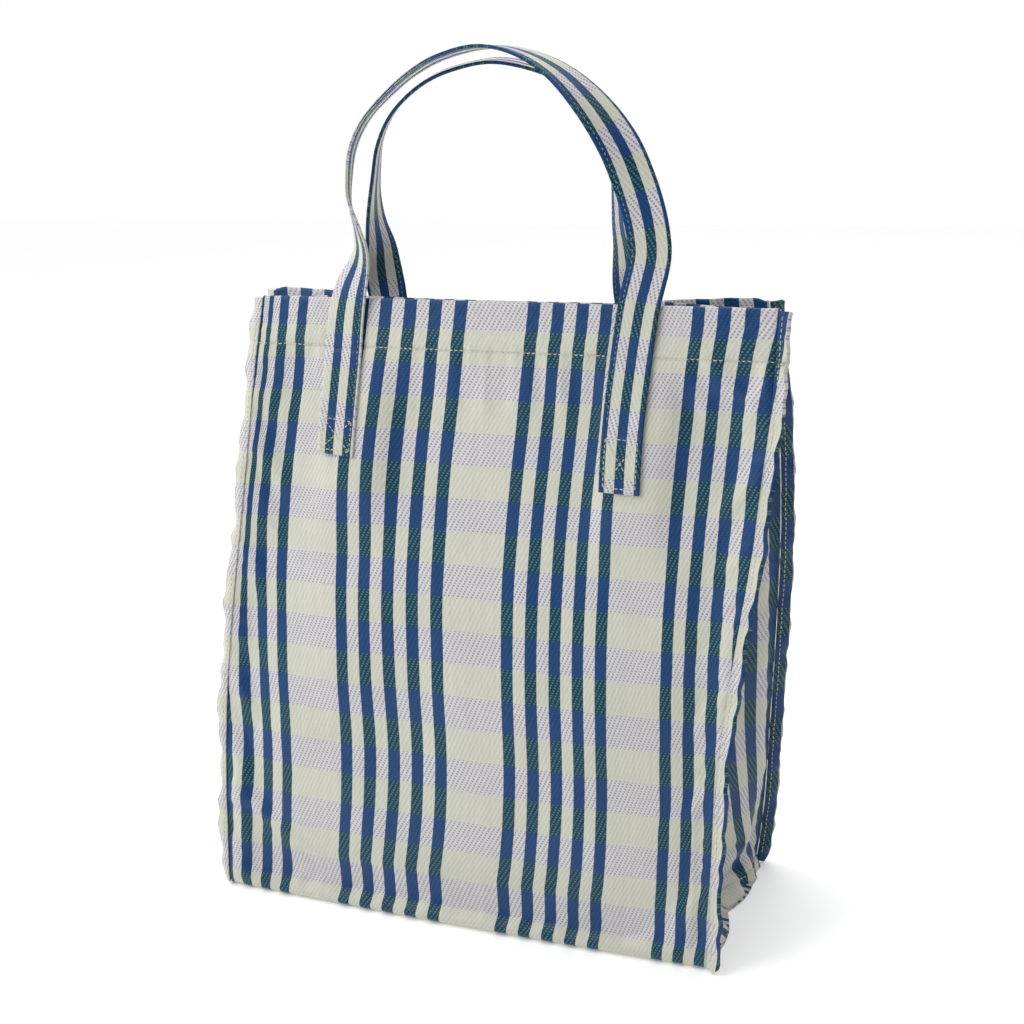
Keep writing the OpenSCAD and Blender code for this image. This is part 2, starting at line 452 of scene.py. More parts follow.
def woven(name, strap=False):
    """Plaid of flat plastic tapes in a 3/1 twill: blue and white warp, violet and lime weft, in real millimetres."""
    k = Nodes(name)
    m = k.m
    at = k.t.nodes.new("ShaderNodeAttribute")
    at.attribute_name = "cloth"
    sep = k.t.nodes.new("ShaderNodeSeparateXYZ")
    k.t.links.new(at.outputs["Vector"], sep.inputs[0])
    s, t, groove_shade = sep.outputs
    # warp yarns wander a little along their length
    drift = m("MULTIPLY", m("SUBTRACT", k.noise(k.xyz(m("MULTIPLY", s, 0.02), m("MULTIPLY", t, 0.012)), 1.0, 2), 0.5), 1.6)
    sw = m("ADD", s, drift)
    if strap:
        r = m("SUBTRACT", sw, m("MULTIPLY", m("ROUND", m("DIVIDE", sw, 12.0)), 12.0))
        blue = k.below(m("ABSOLUTE", r), 2.9, 0.12)
    else:
        u = m("DIVIDE", m("SUBTRACT", sw, GROUP_AT), GROUP)
        q = m("MULTIPLY", m("SUBTRACT", u, m("ROUND", u)), GROUP)
        r = m("SUBTRACT", q, m("MULTIPLY", m("ROUND", m("DIVIDE", q, PITCH)), PITCH))
        blue = m("MULTIPLY", k.below(m("ABSOLUTE", r), PITCH / 4, 0.12), m("LESS_THAN", m("ABSOLUTE", q), PITCH * 2.32))
    band = m("FRACT", m("DIVIDE", m("SUBTRACT", t, BAND_AT), BAND))
    violet = m("LESS_THAN", band, 0.5)
    # the twill: one weft dash in four warps, a quarter further on in each row
    row = m("FLOOR", m("DIVIDE", t, ROW))
    in_row = m("FRACT", m("DIVIDE", t, ROW))
    phase = m("FRACT", m("DIVIDE", m("SUBTRACT", s, m("MULTIPLY", row, WARP)), WARP * 4))
    dx = m("ABSOLUTE", m("SUBTRACT", phase, 0.5))
    dy = m("ABSOLUTE", m("SUBTRACT", in_row, 0.5))
    dash = m("MULTIPLY", k.below(dx, 0.20, 0.045), k.below(dy, 0.31, 0.07))
    warp_base = k.mix(blue, k.mix(violet, lin((205, 204, 195)), lin((208, 205, 203))), k.mix(violet, lin((11, 50, 82)), lin((15, 60, 108))))
    weft = k.mix(blue, k.mix(violet, lin((197, 203, 170)), lin((134, 137, 166))), k.mix(violet, lin((70, 132, 122)), lin((30, 76, 126))))
    # weft yarns differ a little from one to the next
    yarn = k.noise(k.xyz(m("MULTIPLY", s, 0.05), m("MULTIPLY", row, 3.7)), 1.0, 1)
    warp_yarn = k.noise(k.xyz(m("MULTIPLY", m("FLOOR", m("DIVIDE", s, WARP)), 2.9), m("MULTIPLY", t, 0.02)), 1.0, 1)
    strength = m("MULTIPLY", dash, k.range(yarn, 0.3, 0.7, 0.72, 1.0))
    colour = k.mix(strength, warp_base, weft)
    # the valleys of the twill lie in shade, and the cloth is a little worn and dusty
    ridge = m("COSINE", m("MULTIPLY", m("SUBTRACT", phase, 0.5), 2 * math.pi))
    shade = k.range(ridge, -1, 1, 1.035, 0.95)
    shade = m("MULTIPLY", shade, k.range(warp_yarn, 0.25, 0.75, 0.94, 1.05))
    soil = k.noise(k.xyz(m("MULTIPLY", s, 0.011), m("MULTIPLY", t, 0.011)), 1.0, 5, 0.6)
    shade = m("MULTIPLY", shade, k.range(soil, 0.3, 0.7, 0.965, 1.025))
    # painted shade: the colour is darkened in grooves, beside seams, at stitch lines and between layers, by the
    # attribute's third value
    shade = m("MULTIPLY", shade, m("SUBTRACT", 1.0, groove_shade))
    k.put(k.bsdf.inputs["Base Color"], k.scale(colour, shade))
    k.put(k.bsdf.inputs["Roughness"], k.range(m("ADD", m("MULTIPLY", warp_yarn, 0.6), m("MULTIPLY", soil, 0.4)), 0.25, 0.75, 0.36, 0.52))
    k.bsdf.inputs["Specular IOR Level"].default_value = 0.28
    crown = m("COSINE", m("MULTIPLY", m("SUBTRACT", m("FRACT", m("DIVIDE", s, WARP)), 0.5), math.pi))
    height = m("ADD", m("MULTIPLY", ridge, -0.55), m("ADD", m("MULTIPLY", dash, 0.25), m("MULTIPLY", crown, 0.3)))
    bump = k.t.nodes.new("ShaderNodeBump")
    bump.inputs["Strength"].default_value = 0.55
    bump.inputs["Distance"].default_value = 0.00022
    k.t.links.new(height, bump.inputs["Height"])
    k.t.links.new(bump.outputs[0], k.bsdf.inputs["Normal"])
    return k.mat


def thread_material(name, dark, light):
    k = Nodes(name)
    geo = k.t.nodes.new("ShaderNodeTexCoord")
    n = k.noise(geo.outputs["Object"], 900.0, 3, 0.6)
    k.put(k.bsdf.inputs["Base Color"], k.mix(k.range(n, 0.3, 0.7, 0, 1), lin(dark), lin(light)))
    k.put(k.bsdf.inputs["Roughness"], k.range(n, 0.3, 0.7, 0.5, 0.7))
    wave = k.t.nodes.new("ShaderNodeTexWave")
    wave.bands_direction = "DIAGONAL"
    wave.inputs["Scale"].default_value = 700
    k.t.links.new(geo.outputs["Object"], wave.inputs["Vector"])
    bump = k.t.nodes.new("ShaderNodeBump")
    bump.inputs["Strength"].default_value = 0.4
    bump.inputs["Distance"].default_value = 0.0001
    k.t.links.new(wave.outputs["Fac"], bump.inputs["Height"])
    k.t.links.new(bump.outputs[0], k.bsdf.inputs["Normal"])
    return k.mat


cloth_mat = woven("plaid_cloth")
seam_mat = woven("plaid_seam")
strap_mat = woven("plaid_strap", strap=True)
thread_mat = thread_material("stitch_thread", (186, 184, 168), (222, 220, 206))
edge_thread_mat = thread_material("strap_thread", (96, 120, 138), (168, 184, 188))


# ---------------------------------------------------------------- pattern coordinates
RUN = [-2.03, 30.03, -7.26, -39.79, 12.73, 11.11, 156.46, -1.37, -1.66, 5.72, 2.7, -5.97, 13.18, 8.11, 3.37,
       -0.5, -6.22, 3.38, 21.47, 6.77, 2.2, 0.61, -11.27, -6.15, -14.16, -5.63, 4.34, -10.75, -7.13, 7.92]


def pattern_s(a, v, side=-1):
    """Which warp yarn lies at a place on the wall, in mm. On the front the cloth is pulled a few millimetres off square,
    which this smooth surface describes; the back is taken to be plain."""
    if side > 0:
        return 1.05 * a + 1.9 - 6 * smooth((v - 190) / 210)
    A, V = a / 169, np.clip(v, 38, 392) / 200 - 1
    terms = [A ** i * V ** j for i in range(6) for j in range(6) if i + j <= 7]
    run = sum(c * t for c, t in zip(RUN, terms))
    # high on the left the cloth turns into the seam and one more stripe shows, narrow
    return run - 9.5 * smooth((-157 - a) / 12) * smooth((v - 140) / 110)


def gusset_s(g):
    """g in mm from the middle, towards the back. The cloth is turned over, so the twill runs the other way."""
    return -(g - 66) * 0.9625 + GROUP_AT


# ---------------------------------------------------------------- walls
ROWS = np.unique(np.concatenate([np.arange(0, L, 2.5), L - HEM - 0.5 + np.array([-2.4, -1.5, -0.7, 0, 0.7, 1.5, 2.4]), [L]]))
COLS = np.unique(np.concatenate([np.arange(-HW, HW, 2.5), [HW]]))
cloth_of = {}


def build_wall(side, name):
    """The wall with its lower fold and its hem, which turns over the top edge and down inside."""
    if side < 0:
        grid, first = strip[BR - NG // 2::-1], NG // 2          # from mid base up the front
    else:
        grid, first = strip[FR + NG // 2:], NG // 2
    step = L / NV
    below = np.array([-8.0, -6.5, -5, -3.5, -2, -1])
    vv = np.concatenate([below, ROWS])
    at = np.where(vv < 0, first + vv / (2 * YB / NG), first + vv / step)
    P = resample(grid, at, (COLS + HW) / (2 * HW / NA))
    A, V = np.meshgrid(COLS, vv)
    out = np.broadcast_to([0.0, side, 0.1], P.shape)
    N = normals(P, out)
    edge = HW - np.abs(A)
    # gathers beside the seams, the hem's stitched groove, and the slack between hem and cloth
    pucker = 0.5 * (1 + np.sin(2 * np.pi * V / 17 + 1.3 * np.sin(V / 37) + (A > 0) * 2)) * np.exp(-edge / 7.0) * smooth(edge / 3)
    # a valley beside the right seam low down, and a soft fold beside the left one
    low = smooth((190 - V) / 120)
    pucker = pucker - (side < 0) * (2.6 * np.exp(-((A - (HW - 7)) / 3.2) ** 2) * low - 1.6 * np.exp(-((A + HW - 11) / 6) ** 2) * low)
    groove = -0.45 * np.exp(-((V - (L - HEM - 0.5)) / 1.3) ** 2)
    ripple = 0.28 * np.sin(A / 3.9 + 2.2 * np.sin(A / 47)) * np.exp(-((V - (L - HEM - 0.5)) / 5) ** 2)
    P = P + N * ((pucker + groove + ripple) * smooth(V / 20))[..., None]
    P[..., 2] = np.maximum(P[..., 2], 0.02)
    N = normals(P, out)
    cloth_of[side] = (P, N, COLS, vv)
    # the hem
    up = np.array([0, -side * SL, CL])
    top, tn = P[-1], N[-1]
    r = 1.35
    over = [top - tn * (r * (1 - math.cos(f))) + up * (r * math.sin(f)) for f in np.radians([30, 60, 90, 120, 150])]
    over_n = [tn * math.cos(f) + up * math.sin(f) for f in np.radians([30, 60, 90, 120, 150])]
    down = np.nonzero(vv > L - HEM + 0.2)[0][::-1][::1]
    inside = [P[i] - N[i] * 2 * r for i in down]
    inside_n = [-N[i] for i in down]
    PP = np.concatenate([P, np.array(over), np.array(inside)])
    NN = np.concatenate([N, np.array(over_n), np.array(inside_n)])
    tt = np.concatenate([vv, L + np.arange(1, 6) * 0.8, [L + 4.4 + (L - vv[i]) for i in down]])
    mirror = 1 if side < 0 else -1
    S = pattern_s(A[0][None, :] * mirror, np.minimum(tt, L)[:, None] * np.ones((1, len(COLS))), side)
    T = (tt if side < 0 else -2 * YB - tt)[:, None] * np.ones((1, len(COLS)))
    attr = np.stack([S, T, 0 * S], -1)
    # painted shade: the cloth darkens beside the side seams and along the hem's stitched groove
    attr[..., 2] = 0.14 * np.exp(-((HW - np.abs(A[0])) / 1.8) ** 2)[None, :]
    attr[: len(vv), :, 2] += 0.12 * np.exp(-((V - (L - HEM - 0.5)) / 0.9) ** 2)
    ob = shell(name, PP, NN, CLOTH, attr, cloth_mat)
    return ob


front_cloth = build_wall(-1, "front_cloth")
back_cloth = build_wall(1, "back_cloth")

# ---------------------------------------------------------------- base
rows = np.linspace(FR + 1.4, BR - 1.4, 54)
P = resample(strip, rows, (COLS + HW) / (2 * HW / NA))
N = normals(P, np.broadcast_to([0, 0, -1.0], P.shape))
A = np.broadcast_to(COLS[None, :], P.shape[:2])
T = -(rows - FR) * 2 * YB / NG
part = ((rows - FR) / NG)[:, None]
attr = np.stack([pattern_s(A, 0 * A) * (1 - part) + pattern_s(-A, 0 * A, 1) * part, T[:, None] + 0 * A, 0 * A], -1)
base_cloth = shell("base_cloth", P, N, CLOTH, attr, cloth_mat)

# ---------------------------------------------------------------- gussets, each as two halves that meet in the fold
gusset_of = {}
RIDGE_Z = 8.8


def build_gusset(side, grid, name):
    vv = np.unique(np.concatenate([np.arange(0, 40, 2.0), np.arange(40, L, 3.0), [L - HEM, L]]))
    gs = np.linspace(0, NG, 2 * NG + 1)
    P = resample(grid, vv / (L / NV), gs)
    g = (gs / NG * 2 - 1) * YB
    G, V = np.meshgrid(g, vv)
    out = np.broadcast_to([float(side), 0, 0], P.shape)
    N = normals(P, out)
    # pleats that run down into the corners, gathers beside the seams
    low = np.exp(-V / 45.0)
    pleat = low * (1.6 * np.sin(G / 6.1 + V / 30) + 0.8 * np.sin(G / 3.3 + 1)) * smooth((YB - np.abs(G)) / 12)
    pucker = -0.5 * (1.4 + np.sin(2 * np.pi * V / 15 + 2 * np.sin(V / 41))) * np.exp(-(YB - np.abs(G)) / 8) * smooth((YB - np.abs(G)) / 3)
    drape = waves(G, V, 31 if side > 0 else 37, 1.3, 40, 110) * smooth(V / 80) * smooth((L - V) / 60) * smooth((YB - np.abs(G)) / 25)
    P = P + N * (pleat + pucker + drape)[..., None]
    P[..., 2] = np.maximum(P[..., 2], 0.1)
    # the cloth starts behind the wall's, and behind its hem
    for ws in (-1, 1):
        WP, wv = cloth_of[ws][0], cloth_of[ws][3]
        half = np.nonzero(np.sign(g) == ws)[0]
        for i, v in enumerate(vv):
            row = WP[int(np.argmin(np.abs(wv - min(v, L))))]
            room = np.abs(np.interp(P[i, half, 0], row[:, 0], row[:, 1]))
            room -= 2.5 * smooth(v / 14) + 2.9 * smooth((v - (L - HEM - 8)) / 6)
            P[i, half, 1] = ws * np.minimum(np.abs(P[i, half, 1]), np.maximum(room, 2.0))
    N = normals(P, out)
    N[..., 2] = np.where(V < 12, np.minimum(N[..., 2], 0), N[..., 2])          # nothing goes under the floor
    N = N + np.array([0.02 * side, 0, 0])
    N /= np.maximum(np.linalg.norm(N, axis=-1, keepdims=True), 1e-6)
    gusset_of[side] = (P, N, g, vv)
    S = gusset_s(G)
    # painted shade: darker along the gusset's folded edges and along the base ridge's stitch line
    groove_shade = 0.10 * np.exp(-((YB - np.abs(G)) / 2.5) ** 2) + 0.05 * np.exp(-((V - RIDGE_Z) / 3) ** 2)
    attr = np.stack([S, V, groove_shade], -1)
    made = []
    mid = len(gs) // 2
    for part, cols in (("front", slice(0, mid + 1)), ("back", slice(mid, None))):
        made.append(shell(f"{name}_{part}", P[:, cols], N[:, cols], CLOTH, attr[:, cols], cloth_mat))
    return made


rg = build_gusset(1, right, "right_gusset_cloth")
lg = build_gusset(-1, left, "left_gusset_cloth")


# ---------------------------------------------------------------- seams that stand out from the corners
def fin(name, side, end, seed):
    """The two cloths' turned edges, sewn together: side -1 front, end +1 right. Its free edge is scalloped."""
    P, N, cols, vv = cloth_of[side]
    keep = vv >= 0
    col = -1 if end > 0 else 0
    S = P[keep, col]
    v = vv[keep]
    n = N[keep, col if end < 0 else -1]
    r = np.random.RandomState(seed)
    ph = r.uniform(0, 6, 5)
    wide = FIN - 0.4 + 0.3 * np.sin(2 * np.pi * v / 15.5 + ph[0]) + 0.4 * np.sin(2 * np.pi * v / 38 + ph[1])
    wide *= 0.6 + 0.4 * smooth(v / 7)                      # rounded lower end
    turn = 0.16 * np.sin(2 * np.pi * v / 83 + ph[2]) + 0.09 * np.sin(2 * np.pi * v / 23 + ph[3]) + {(-1, 1): 0.55, (-1, -1): -0.38, (1, 1): 0.5, (1, -1): 0.45}[(side, end)]
    n = n * [0.35, 1, 1]
    n /= np.linalg.norm(n, axis=1, keepdims=True)
    sideways = np.broadcast_to([float(end), 0, 0], n.shape)
    layers = []
    for e in np.linspace(0, 1, 6):
        ang = turn * (0.35 + 0.65 * e)
        d = sideways * np.cos(ang)[:, None] + n * np.sin(ang)[:, None]
        layers.append(S - sideways * 0.7 + d * (e * wide + 0.7)[:, None] + n * (0.9 + 0.15 * math.sin(e * 3)))
    G = np.stack(layers, 1)
    G[..., 2] = np.maximum(G[..., 2], 0.1)
    M = normals(G, n[:, None, :] * np.ones((1, 6, 1)))
    M[v < 12, :, 2] = np.minimum(M[v < 12, :, 2], 0)
    # each face crowns a little, so that the edges are round
    tt = v if side < 0 else -2 * YB - v
    E = np.linspace(0, 1, 6)[None, :] * wide[:, None]
    slip = 11.5 * smooth((150 - v) / 90)[:, None] * (end > 0)      # low down the last stripe runs on to the ridge
    start = -9 - slip
    if (side, end) == (1, 1):                              # cut from a blue stripe
        start = GROUP_AT + PITCH - 3.6
    elif (side, end) == (-1, 1):                           # the wall's cloth runs on
        start = np.where(v > 300, pattern_s(HW, v), 179.4)[:, None]
    # the third value is painted shade, darkest where the seam leaves the wall
    attr = np.stack([start + E * (1 if end > 0 else -1), tt[:, None] + 0 * E, 0.12 * np.exp(-(E / 1.3) ** 2)], -1)
    ob = shell(name, G, M, 2.3, attr, seam_mat)
    bev = ob.modifiers.new("round", "BEVEL")
    bev.width = 0.0006
    bev.segments = 2
    bev.limit_method = "ANGLE"
    bev.angle_limit = math.radians(50)
    return ob, G, M, v


fins = {}
for side, sn in ((-1, "front"), (1, "back")):
    for end, en in ((1, "right"), (-1, "left")):
        fins[(side, end)] = fin(f"{sn}_{en}_ridge", side, end, 50 + side + 7 * end)


def base_ridge(name, end):
    """The seam under a gusset: it hangs from the stitch line to the ground, and waves as the cloth above does."""
    P, N, g, vv = gusset_of[end]
    zs = np.array([RIDGE_Z + 0.3, RIDGE_Z - 0.6, 7, 5, 3, 1.4, 0.15])
    row = resample(P, np.array([np.interp(RIDGE_Z, vv, np.arange(len(vv)))]), np.arange(len(g)))[0]
    keep = np.abs(g) < YB - 3
    row = row[keep]
    gk = g[keep]
    flare = np.array([0.2, 0.75, 1.1, 1.6, 2.1, 2.5, 2.6])
    wob = 1.0 * np.sin(gk / 10.5 + end) + 0.35 * np.sin(gk / 5.1)
    G = np.zeros((len(zs), len(gk), 3))
    for i, z in enumerate(zs):
        low = (RIDGE_Z + 0.3 - z) / RIDGE_Z
        G[i, :, 0] = row[:, 0] + end * (flare[i] + wob * low + 0.3)
        G[i, :, 1] = row[:, 1] * (1 - 0.004 * i)
        G[i, :, 2] = z
    M = normals(G, np.broadcast_to([float(end), 0, 0.0], G.shape))
    # the third value is painted shade along the stitch line
    attr = np.stack([np.broadcast_to(gusset_s(gk), G.shape[:2]), np.broadcast_to(zs[:, None], G.shape[:2]), 0.1 * np.exp(-((zs[:, None] - RIDGE_Z) / 1.2) ** 2) + 0 * G[..., 0]], -1)
    ob = shell(name, G, M, 2.2, attr, seam_mat)
    bev = ob.modifiers.new("round", "BEVEL")
    bev.width = 0.0006
    bev.segments = 2
    bev.limit_method = "ANGLE"
    bev.angle_limit = math.radians(50)
    return ob, G, M


right_low, right_low_grid, right_low_n = base_ridge("right_base_ridge", 1)
left_low, left_low_grid, left_low_n = base_ridge("left_base_ridge", -1)


# ---------------------------------------------------------------- straps
def curve_points(points, n):
    """Points evenly spaced along a smooth curve through the ones given; extra columns come along."""
    p = np.array(points, float)
    W = weights(np.linspace(0, len(p) - 1, 1200), len(p))
    fine = W @ p
    d = np.concatenate([[0], np.cumsum(np.linalg.norm(np.diff(fine[:, :2], axis=0), axis=1))])
    at = np.linspace(0, d[-1], n)
    return np.stack([np.interp(at, d, fine[:, i]) for i in range(p.shape[1])], 1), at


# x along the wall, z height, and how far the strap has turned from facing forwards to facing up
FRONT_LINE = [(-91.5, 304, 0), (-90.5, 315, 0), (-89, 328, 0), (-87, 347, 0), (-85.5, 366, 0), (-84.5, 385, 2), (-82, 404, 12), (-80, 422, 36),
              (-83, 441, 56), (-88, 459, 66), (-87, 475, 70), (-83, 491, 72), (-73, 507, 74), (-58, 521, 77), (-43, 532, 80), (-24, 541, 84),
              (2, 546, 86), (26, 542, 80), (48, 531, 68), (68, 513, 50), (84, 492, 32), (94, 471, 20), (101, 450, 12), (104, 432, 8),
              (104, 415, 4), (103, 398, 1), (101, 380, 0), (99.5, 363, 0), (98, 346, 0), (96.5, 328, 0), (95.5, 310, 0), (95, 292, 0)]
BACK_LINE = [(-92, 290, 0), (-90, 309, 0), (-88, 328, 0), (-85, 347, 0), (-82, 366, 0), (-79, 385, 4), (-80, 402, 22), (-86, 421, 54),
             (-90, 438, 82), (-90, 457, 98), (-87, 474, 104), (-82, 491, 106), (-72, 507, 104), (-59, 519, 100), (-42, 529, 95), (-23, 535, 91),
             (0, 538, 88), (22, 534, 85), (42, 525, 79), (58, 510, 70), (68, 493, 62), (73, 475, 56), (74, 456, 52), (75, 438, 46),
             (79, 420, 32), (84, 402, 14), (88, 385, 4), (92, 366, 0), (94, 347, 0), (95, 328, 0), (95, 309, 0), (95, 290, 0)]


def surface_at(side, x, v):
    """How far the wall's cloth stands out from its plane at a place."""
    P, N, cols, vv = cloth_of[side]
    i = int(np.clip(np.searchsorted(vv, v), 1, len(vv) - 1))
    row = P[i]
    y = np.interp(x, row[:, 0], row[:, 1])
    z = np.interp(x, row[:, 0], row[:, 2])
    return side * y * CL - (YB * CL - 0) + z * SL          # outwards from the wall's plane


def strap_frames(side, line):
    pts, d = curve_points(line, 190)
    z, turn = pts[:, 1], np.radians(pts[:, 2])
    x = pts[:, 0] + 5.5 * smooth((z - 395) / 40) + (pts[:, 0] < 0) * 2.5 * smooth((z - 405) / 30) * smooth((520 - z) / 60)
    v = z / CL
    r = np.random.RandomState(3 + side)
    outw = np.zeros(len(x))
    for i in range(len(x)):
        on = surface_at(side, x[i], min(v[i], L - 1.0))
        fade = 1 - smooth((v[i] - L) / 110)
        lift = STRAP_T / 2 + 0.15 + 0.5 * smooth((v[i] - HINGE_V) / 20)
        outw[i] = on * (1.0 if v[i] < L + 1 else fade) + lift
    outw = np.convolve(np.pad(outw, 4, "edge"), np.ones(9) / 9, "valid")
    C = wall(side, x, -outw, v)
    T = np.gradient(C, axis=0)
    T /= np.linalg.norm(T, axis=1, keepdims=True)
    Y = np.array([0, side * 1.0, 0])                        # outwards, as seen from the bag
    F0 = np.array([0, side * CL, SL])                       # the wall's own outward normal
    Nn = np.cross(F0, T)
    Nn /= np.linalg.norm(Nn, axis=1, keepdims=True)
    if (Nn * (C - [x.mean(), 0, 400])).sum() < 0:
        Nn = -Nn
    # Nn points away from the arch; the face turns from outwards to upwards
    c, s_ = np.cos(turn)[:, None], np.sin(turn)[:, None]
    Wd = Nn * c - F0 * s_
    Fd = F0 * c + Nn * s_
    return C, Wd, Fd, T, v, d


def section():
    """Outline of the folded strap: rounded edges, a shallow groove at the stitches, the open edge in two layers."""
    out = []
    half, th = STRAP_W / 2, STRAP_T / 2
    ws = np.array([-12.4, -11.7, -10.6, -9.9, -9.2, -7, -3.5, 0, 3.5, 7, 9.5, 11.2, 12.1])
    for w in ws:
        groove = 0.32 * math.exp(-((w + 9.9) / 0.9) ** 2)
        edge = 0.35 * max(0, (abs(w) - 10.9) / 1.5) ** 2
        out.append((w, th - groove - edge))
    out.append((half, 0.0))
    for w in ws[::-1]:
        groove = 0.32 * math.exp(-((w + 9.9) / 0.9) ** 2)
        edge = 0.35 * max(0, (abs(w) - 10.9) / 1.5) ** 2
        out.append((w, -th + groove + edge))
    out.append((-half, -0.55))
    out.append((-half + 0.5, 0.0))                          # between the two layers
    out.append((-half, 0.55))
    return np.array(out)


def sweep(name, C, Wd, Fd, d, drift, mat, close=0.0, crown=None):
    sec = section()
    n, k = len(C), len(sec)
    co = np.zeros((n, k, 3))
    at = np.zeros((n, k, 3))
    for i in range(n):
        cup = (0.3 if crown is None else crown[i]) * ((sec[:, 0] / 12.5) ** 2 - 0.4)
        co[i] = C[i] + Wd[i] * sec[:, :1] + Fd[i] * (sec[:, 1] + cup)[:, None]
        at[i, :, 0] = sec[:, 0] - drift[i]
        at[i, :, 1] = d[i]
        # painted shade in the stitch groove and in the gap between the strap's two layers at its open edge
        at[i, :, 2] = 0.12 * np.exp(-((sec[:, 0] + 9.9) / 0.8) ** 2) + 0.25 * (np.abs(sec[:, 0]) > 12.2) * (np.abs(sec[:, 1]) < 0.3)
    idx = np.arange(n * k).reshape(n, k)
    nx = np.roll(idx, -1, axis=1)
    q = np.stack([idx[:-1], nx[:-1], nx[1:], idx[1:]], -1).reshape(-1, 4)
    faces = q.tolist()
    # ends: strips between the two faces
    m = 13
    for row, flip in ((0, True), (n - 1, False)):
        top = idx[row, :m]
        bot = idx[row, m + 1:2 * m + 1][::-1]
        caps = [[int(top[j]), int(top[j + 1]), int(bot[j + 1]), int(bot[j])] for j in range(m - 1)]
        caps.append([int(top[m - 1]), int(idx[row, m]), int(bot[m - 1])])
        caps.append([int(idx[row, -1]), int(top[0]), int(bot[0]), int(idx[row, -3])])
        caps[-1] = [int(idx[row, -1]), int(top[0]), int(bot[0]), int(idx[row, -3]), int(idx[row, -2])]
        if flip:
            caps = [c[::-1] for c in caps]
        faces += caps
    T = C[min(n - 1, n // 2 + 1)] - C[n // 2]
    if np.dot(np.cross(Wd[n // 2], Fd[n // 2]), T) > 0:
        faces = [f[::-1] for f in faces]
    ob = new_mesh(name, co.reshape(-1, 3), faces, at.reshape(-1, 3), mat)
    return ob


# ---------------------------------------------------------------- stitches
def stitches(name, paths, pitch=3.3, long=2.5, radius=0.30, mat=None):
    """Rows of separate stitches: paths are (points, normals). Each dips into the cloth at its ends."""
    rings, sides = 7, 6
    u = np.linspace(-1, 1, rings)
    prof = np.sqrt(np.clip(1 - u ** 4, 0.06, 1)) * radius
    dip = -0.30 * u ** 4 + 0.10
    co, faces, base = [], [], 0
    idx = np.arange(rings * sides).reshape(rings, sides)
    nx = np.roll(idx, -1, 1)
    side_faces = np.stack([idx[:-1], nx[:-1], nx[1:], idx[1:]], -1).reshape(-1, 4)
    for pts, nrm in paths:
        pts, nrm = np.asarray(pts, float), np.asarray(nrm, float)
        d = np.concatenate([[0], np.cumsum(np.linalg.norm(np.diff(pts, axis=0), axis=1))])
        n = max(1, int(d[-1] / pitch))
        mids = (np.arange(n) + 0.5) * d[-1] / n
        r = np.random.RandomState(int(abs(pts[0]).sum() * 10) % 9973)
        for mth in mids:
            lng = long * r.uniform(0.93, 1.05) / 2
            c = np.array([np.interp(mth, d, pts[:, i]) for i in range(3)])
            a = np.array([np.interp(mth - lng, d, pts[:, i]) for i in range(3)])
            b = np.array([np.interp(mth + lng, d, pts[:, i]) for i in range(3)])
            nn = np.array([np.interp(mth, d, nrm[:, i]) for i in range(3)])
            t = b - a
            t /= max(np.linalg.norm(t), 1e-9)
            nn = nn - t * nn.dot(t)
            nn /= max(np.linalg.norm(nn), 1e-9)
            bb = np.cross(t, nn)
            t2 = t + bb * r.uniform(-0.06, 0.06)
            ang = np.arange(sides) * 2 * np.pi / sides
            ring = np.cos(ang)[:, None] * bb + np.sin(ang)[:, None] * nn
            P = c + t2 * (u * lng)[:, None, None] + ring[None] * prof[:, None, None] + nn * dip[:, None, None]
            co.append(P.reshape(-1, 3))
            faces += (side_faces + base).tolist()
            faces.append((idx[0][::-1] + base).tolist())
            faces.append((idx[-1] + base).tolist())
            base += rings * sides
    co = np.concatenate(co)
    return new_mesh(name, co, [f[::-1] for f in faces], None, mat or thread_mat)


